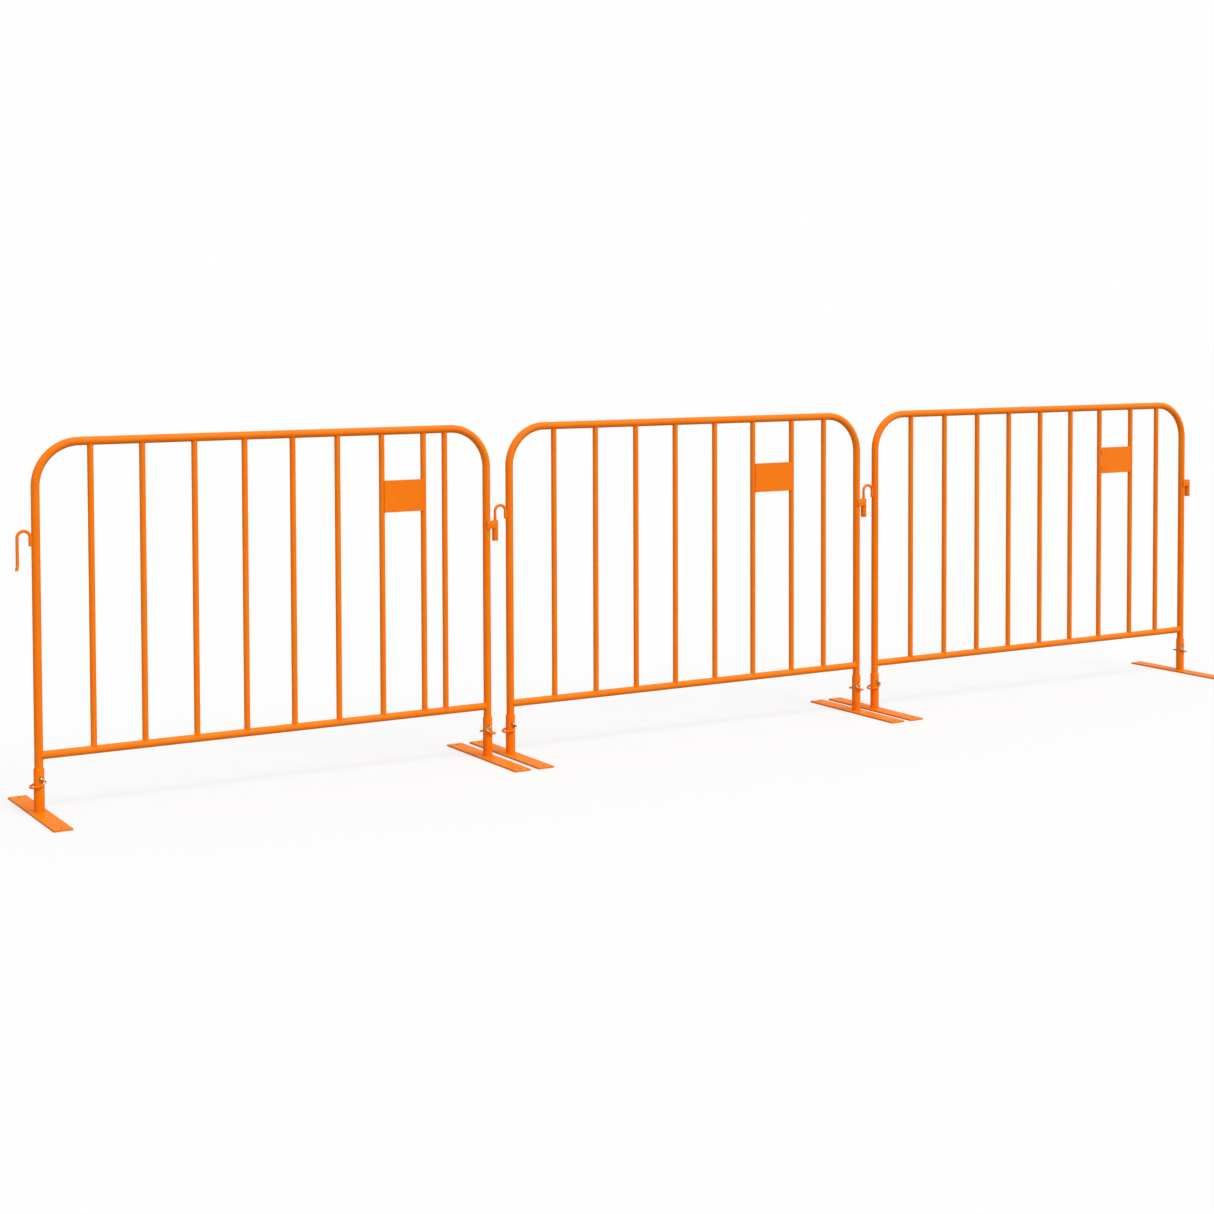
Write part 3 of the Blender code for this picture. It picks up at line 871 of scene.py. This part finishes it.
def floor_dust():
    """Mask of dust that fades out upwards from the floor."""
    group, start, end = new_group(
        "Floor Dust", (("Top", "NodeSocketFloat"),), (("Mask", "NodeSocketFloat"),)
    )
    where = add_node(group, "ShaderNodeTexCoord", -700, 200)
    split = add_node(group, "ShaderNodeSeparateXYZ", -500, 200)
    group.links.new(where.outputs["Object"], split.inputs["Vector"])
    height = math(group, "DIVIDE", split.outputs["Z"], start.outputs["Top"], -300, 200)
    patches = noise_field(group, 38.0, 6, -500, -100)
    near = math(group, "SUBTRACT", 1.0, height, -100, 200)
    mixed = math(group, "MULTIPLY", near, patches, 100, 100)
    group.links.new(remap(group, mixed, 0.30, 0.62, 0.0, 0.5, 350, 100), end.inputs["Mask"])
    return group


def add_shared(tree, builder, title, x, y):
    """Add a node of a group that materials share, and build the group the first time."""
    group = bpy.data.node_groups.get(title) or builder()
    return add_node(tree, "ShaderNodeGroup", x, y, node_tree=group)


def paint_material(name, paint, peel_scale=520.0, peel=0.22, dusty=False, wear_and_shade_colour=None, gloss=1.0):
    """A powder coat, with dust near the floor, and changed to another colour where the mesh's mark says
    so: worn paint, bare steel, and on the foot plates painted shade in the anchor holes.
    """
    known = bpy.data.materials.get(name)
    if known:
        return known
    material = bpy.data.materials.new(name)
    material.use_nodes = True
    tree = material.node_tree
    shader = tree.nodes["Principled BSDF"]
    shader.location = (600, 0)
    tone = add_shared(tree, powder_coat_tone, "Powder Coat Tone", -500, 200)
    for label, value in (("Orange", paint.orange), ("Deep", paint.deep), ("Pale", paint.pale)):
        tone.inputs[label].default_value = (*value, 1)
    tone.inputs["Roughness"].default_value = paint.roughness
    base, rough = tone.outputs["Colour"], tone.outputs["Roughness"]
    if dusty:
        dust = add_shared(tree, floor_dust, "Floor Dust", -500, -100)
        dust.inputs["Top"].default_value = DUST_TOP
        base = mix_colour(tree, dust.outputs["Mask"], base, paint.dust, -200, 200)
    if wear_and_shade_colour:
        marks = add_shared(tree, wear_and_shade_marks, "Wear And Shade Marks", -500, -300)
        marks.inputs["Scale"].default_value = 420.0 if wear_and_shade_colour == "steel" else 260.0
        mask = marks.outputs["Mask"]
        # On the foot plates this mixes in painted shade: a dark colour on the walls of the anchor holes.
        base = mix_colour(tree, mask, base, getattr(paint, wear_and_shade_colour), 50, 200)
        if wear_and_shade_colour == "steel":
            tree.links.new(mask, shader.inputs["Metallic"])
            rough = remap(tree, mask, 0.0, 1.0, rough, STEEL_ROUGHNESS, 50, 0)
    height = add_shared(tree, orange_peel, "Orange Peel", -200, -300)
    height.inputs["Scale"].default_value = peel_scale
    bump = add_node(tree, "ShaderNodeBump", 250, -300)
    bump.inputs["Strength"].default_value = peel
    bump.inputs["Distance"].default_value = PEEL_DEPTH
    tree.links.new(height.outputs["Height"], bump.inputs["Height"])
    tree.links.new(bump.outputs["Normal"], shader.inputs["Normal"])
    tree.links.new(base, shader.inputs["Base Color"])
    tree.links.new(rough, shader.inputs["Roughness"])
    shader.inputs["Specular IOR Level"].default_value = paint.gloss * gloss
    return material


# --- Operators -------------------------------------------------------------------------------------


class BARRIER_OT_frames(bpy.types.Operator):
    """Build the bent frame tube of each section"""

    bl_idname = "barrier.frames"
    bl_label = "Frame Tubes"

    def execute(self, context):
        sizes = context.scene.barrier_sizes
        material = paint_material("Frame Paint", context.scene.barrier_paint)
        for number in SECTIONS:
            mesh = frame_tube_mesh(number, sizes)
            place_on_section(number, "frame", mesh, material, "frame_tube")
        return {"FINISHED"}


class BARRIER_OT_rails(bpy.types.Operator):
    """Build the bottom rail of each section"""

    bl_idname = "barrier.rails"
    bl_label = "Bottom Rails"

    def execute(self, context):
        sizes = context.scene.barrier_sizes
        material = paint_material("Rail Paint", context.scene.barrier_paint)
        for number in SECTIONS:
            mesh = bottom_rail_mesh(number, sizes)
            place_on_section(number, "rail", mesh, material, "bottom_rail")
        return {"FINISHED"}


class BARRIER_OT_pickets(bpy.types.Operator):
    """Build the upright pickets of each section"""

    bl_idname = "barrier.pickets"
    bl_label = "Pickets"

    def execute(self, context):
        sizes = context.scene.barrier_sizes
        material = paint_material("Picket Paint", context.scene.barrier_paint, peel_scale=560.0)
        for number in SECTIONS:
            for count, node in enumerate(picket_nodes(number), start=1):
                mesh = picket_mesh(number, node, sizes)
                name, part = f"upright_{count}", f"picket_{count}"
                place_on_section(number, name, mesh, material, part)
        return {"FINISHED"}


class BARRIER_OT_name_plates(bpy.types.Operator):
    """Build the blank name plate of each section"""

    bl_idname = "barrier.name_plates"
    bl_label = "Name Plates"

    def execute(self, context):
        sizes = context.scene.barrier_sizes
        material = paint_material("Name Plate Paint", context.scene.barrier_paint, peel=0.30)
        for number in SECTIONS:
            mesh = name_plate_mesh(number, sizes)
            place_on_section(number, "plate", mesh, material, "name_plate")
        return {"FINISHED"}


class BARRIER_OT_hooks(bpy.types.Operator):
    """Build the rod hook of each section"""

    bl_idname = "barrier.hooks"
    bl_label = "Hooks"

    def execute(self, context):
        sizes = context.scene.barrier_sizes
        material = paint_material("Hook Paint", context.scene.barrier_paint, wear_and_shade_colour="pale")
        for number in SECTIONS:
            mesh = hook_mesh(number, sizes)
            place_on_section(number, "rod_hook", mesh, material, "hook")
        return {"FINISHED"}


class BARRIER_OT_sockets(bpy.types.Operator):
    """Build the socket tube and strap of each section"""

    bl_idname = "barrier.sockets"
    bl_label = "Sockets"

    def execute(self, context):
        sizes = context.scene.barrier_sizes
        material = paint_material("Socket Paint", context.scene.barrier_paint, wear_and_shade_colour="pale")
        for number in SECTIONS:
            mesh = socket_mesh(number, sizes)
            place_on_section(number, "hook_socket", mesh, material, "socket")
        return {"FINISHED"}


class BARRIER_OT_feet(bpy.types.Operator):
    """Build the plate and sleeve of each foot"""

    bl_idname = "barrier.feet"
    bl_label = "Feet"

    def execute(self, context):
        sizes, paint = context.scene.barrier_sizes, context.scene.barrier_paint
        # The foot plates' anchor holes get painted shade on their walls.
        plate_paint = paint_material(
            "Foot Plate Paint", paint, peel=0.32, dusty=True, wear_and_shade_colour="painted_hole_shade", gloss=0.4
        )
        sleeve_paint = paint_material("Foot Sleeve Paint", paint, dusty=True, wear_and_shade_colour="pale")
        kinds = (
            ("plate", foot_plate_mesh, plate_paint),
            ("sleeve", foot_sleeve_mesh, sleeve_paint),
        )
        for number in SECTIONS:
            for side in SIDES:
                for name, build, material in kinds:
                    part = f"{side}_foot_{name}"
                    mesh = build(f"section_{number}_{part}", sizes)
                    place_on_section(number, f"{side}_{name}", mesh, material, part)
        return {"FINISHED"}


class BARRIER_OT_clips(bpy.types.Operator):
    """Build the wire ring clip of each foot"""

    bl_idname = "barrier.clips"
    bl_label = "Ring Clips"

    def execute(self, context):
        sizes = context.scene.barrier_sizes
        material = paint_material("Clip Paint", context.scene.barrier_paint, peel=0.15, wear_and_shade_colour="steel")
        for number in SECTIONS:
            for side in SIDES:
                mesh = clip_mesh(number, side, sizes)
                body, node = f"section_{number}_{side}_ring", f"section_{number}_{side}_clip"
                place_piece(f"barrier_{number}_{side}_wire", mesh, material, body, node)
        return {"FINISHED"}


class BARRIER_OT_welds(bpy.types.Operator):
    """Lay the weld beads of each section"""

    bl_idname = "barrier.welds"
    bl_label = "Weld Beads"

    def execute(self, context):
        sizes = context.scene.barrier_sizes
        material = paint_material("Weld Paint", context.scene.barrier_paint, peel=0.35, dusty=True)
        kinds = (
            ("frame_beads", frame_welds_mesh, "frame_paint"),
            ("fitting_beads", fitting_welds_mesh, "socket_paint"),
            ("foot_beads", foot_welds_mesh, "foot_sleeve_paint"),
        )
        for number in SECTIONS:
            for name, build, paint_slot in kinds:
                mesh = build(number, sizes)
                place_on_section(number, name, mesh, material)
        return {"FINISHED"}


class BARRIER_OT_stage(bpy.types.Operator):
    """Set up the floor, the light and the camera"""

    bl_idname = "barrier.stage"
    bl_label = "Studio"

    def execute(self, context):
        stage = context.scene.barrier_stage
        build_floor(stage)
        build_light(stage)
        build_camera()
        context.scene.view_settings.view_transform = "Standard"
        return {"FINISHED"}


def build_floor(stage):
    bm = bmesh.new()
    place = facing_up(0, 0, -0.0002)
    bmesh.ops.create_circle(bm, cap_ends=True, radius=FLOOR_RADIUS, segments=96, matrix=place)
    floor = put("studio_floor", finish_mesh("studio_floor", bm))
    material = bpy.data.materials.new("Studio Floor")
    material.use_nodes = True
    tree = material.node_tree
    shader = tree.nodes["Principled BSDF"]
    shader.inputs["Base Color"].default_value = (*stage.floor, 1)
    shader.inputs["Roughness"].default_value = 0.9
    shader.inputs["Specular IOR Level"].default_value = 0
    shader.inputs["Emission Color"].default_value = (1, 1, 1, 1)
    seen = add_node(tree, "ShaderNodeLightPath", -500, -200)
    lift = math(tree, "MULTIPLY", seen.outputs["Is Camera Ray"], stage.floor_lift, -250, -200)
    tree.links.new(lift, shader.inputs["Emission Strength"])
    floor.data.materials.append(material)


def build_light(stage):
    """A soft sun from above the right front, and surroundings that are bright right and dark left."""
    sun = bpy.data.lights.new("key_light", "SUN")
    sun.energy = stage.key
    sun.angle = KEY_ANGLE
    key = put("key_light", sun)
    key.rotation_euler = Vector(KEY_DIRECTION).to_track_quat("Z", "Y").to_euler()
    world = bpy.data.worlds.new("Studio")
    bpy.context.scene.world = world
    world.use_nodes = True
    tree = world.node_tree
    surround = tree.nodes["Background"]
    surround.location = (200, 0)
    surround.inputs["Color"].default_value = (1, 1, 1, 1)
    where = add_node(tree, "ShaderNodeTexCoord", -900, 0)
    dot = add_node(tree, "ShaderNodeVectorMath", -700, 0, operation="DOT_PRODUCT")
    dot.inputs[1].default_value = BRIGHT_DIRECTION
    tree.links.new(where.outputs["Generated"], dot.inputs[0])
    glow = remap(tree, dot.outputs["Value"], -1.0, 1.0, stage.dark_side, stage.bright_side, -450, 0)
    tree.links.new(glow, surround.inputs["Strength"])
    seen = add_node(tree, "ShaderNodeLightPath", 0, 300)
    backdrop = add_node(tree, "ShaderNodeBackground", 200, -200)
    backdrop.inputs["Color"].default_value = (1, 1, 1, 1)
    backdrop.inputs["Strength"].default_value = BACKDROP
    either = add_node(tree, "ShaderNodeMixShader", 450, 0)
    tree.links.new(seen.outputs["Is Camera Ray"], either.inputs["Fac"])
    tree.links.new(surround.outputs["Background"], either.inputs[1])
    tree.links.new(backdrop.outputs["Background"], either.inputs[2])
    tree.links.new(either.outputs["Shader"], tree.nodes["World Output"].inputs["Surface"])


def build_camera():
    data = bpy.data.cameras.new("camera")
    data.sensor_width = 36
    data.lens = CAMERA_LENS
    data.shift_y = CAMERA_SHIFT
    data.clip_end = 400
    camera = put("camera", data)
    camera.location = CAMERA_PLACE
    level = Matrix.Rotation(-CAMERA_TURN, 4, "Z") @ Matrix.Rotation(pi / 2 - CAMERA_DIP, 4, "X")
    camera.rotation_euler = (level @ Matrix.Rotation(CAMERA_ROLL, 4, "Z")).to_euler()
    bpy.context.scene.camera = camera


class BARRIER_PT_panel(bpy.types.Panel):
    """Sizes, paint and building steps of the barrier run"""

    bl_label = "Barrier Run"
    bl_idname = "BARRIER_PT_panel"
    bl_space_type = "VIEW_3D"
    bl_region_type = "UI"
    bl_category = "Barrier"

    def draw(self, context):
        scene = context.scene
        for group in (scene.barrier_sizes, scene.barrier_paint, scene.barrier_stage):
            box = self.layout.box()
            for label in group.__annotations__:
                box.prop(group, label)
        for operator in OPERATORS:
            self.layout.operator(operator.bl_idname)


OPERATORS = (
    BARRIER_OT_stage,
    BARRIER_OT_frames,
    BARRIER_OT_rails,
    BARRIER_OT_pickets,
    BARRIER_OT_name_plates,
    BARRIER_OT_hooks,
    BARRIER_OT_sockets,
    BARRIER_OT_feet,
    BARRIER_OT_clips,
    BARRIER_OT_welds,
)
CLASSES = (BarrierSizes, BarrierPaint, BarrierStage, *OPERATORS, BARRIER_PT_panel)


def register():
    for cls in CLASSES:
        bpy.utils.register_class(cls)
    bpy.types.Scene.barrier_sizes = PointerProperty(type=BarrierSizes)
    bpy.types.Scene.barrier_paint = PointerProperty(type=BarrierPaint)
    bpy.types.Scene.barrier_stage = PointerProperty(type=BarrierStage)


def unregister():
    for name in ("barrier_stage", "barrier_paint", "barrier_sizes"):
        delattr(bpy.types.Scene, name)
    for cls in reversed(CLASSES):
        bpy.utils.unregister_class(cls)


def main():
    register()
    bpy.ops.barrier.stage()
    bpy.ops.barrier.frames()
    bpy.ops.barrier.rails()
    bpy.ops.barrier.pickets()
    bpy.ops.barrier.name_plates()
    bpy.ops.barrier.hooks()
    bpy.ops.barrier.sockets()
    bpy.ops.barrier.feet()
    bpy.ops.barrier.clips()
    bpy.ops.barrier.welds()


if __name__ == "__main__":
    main()
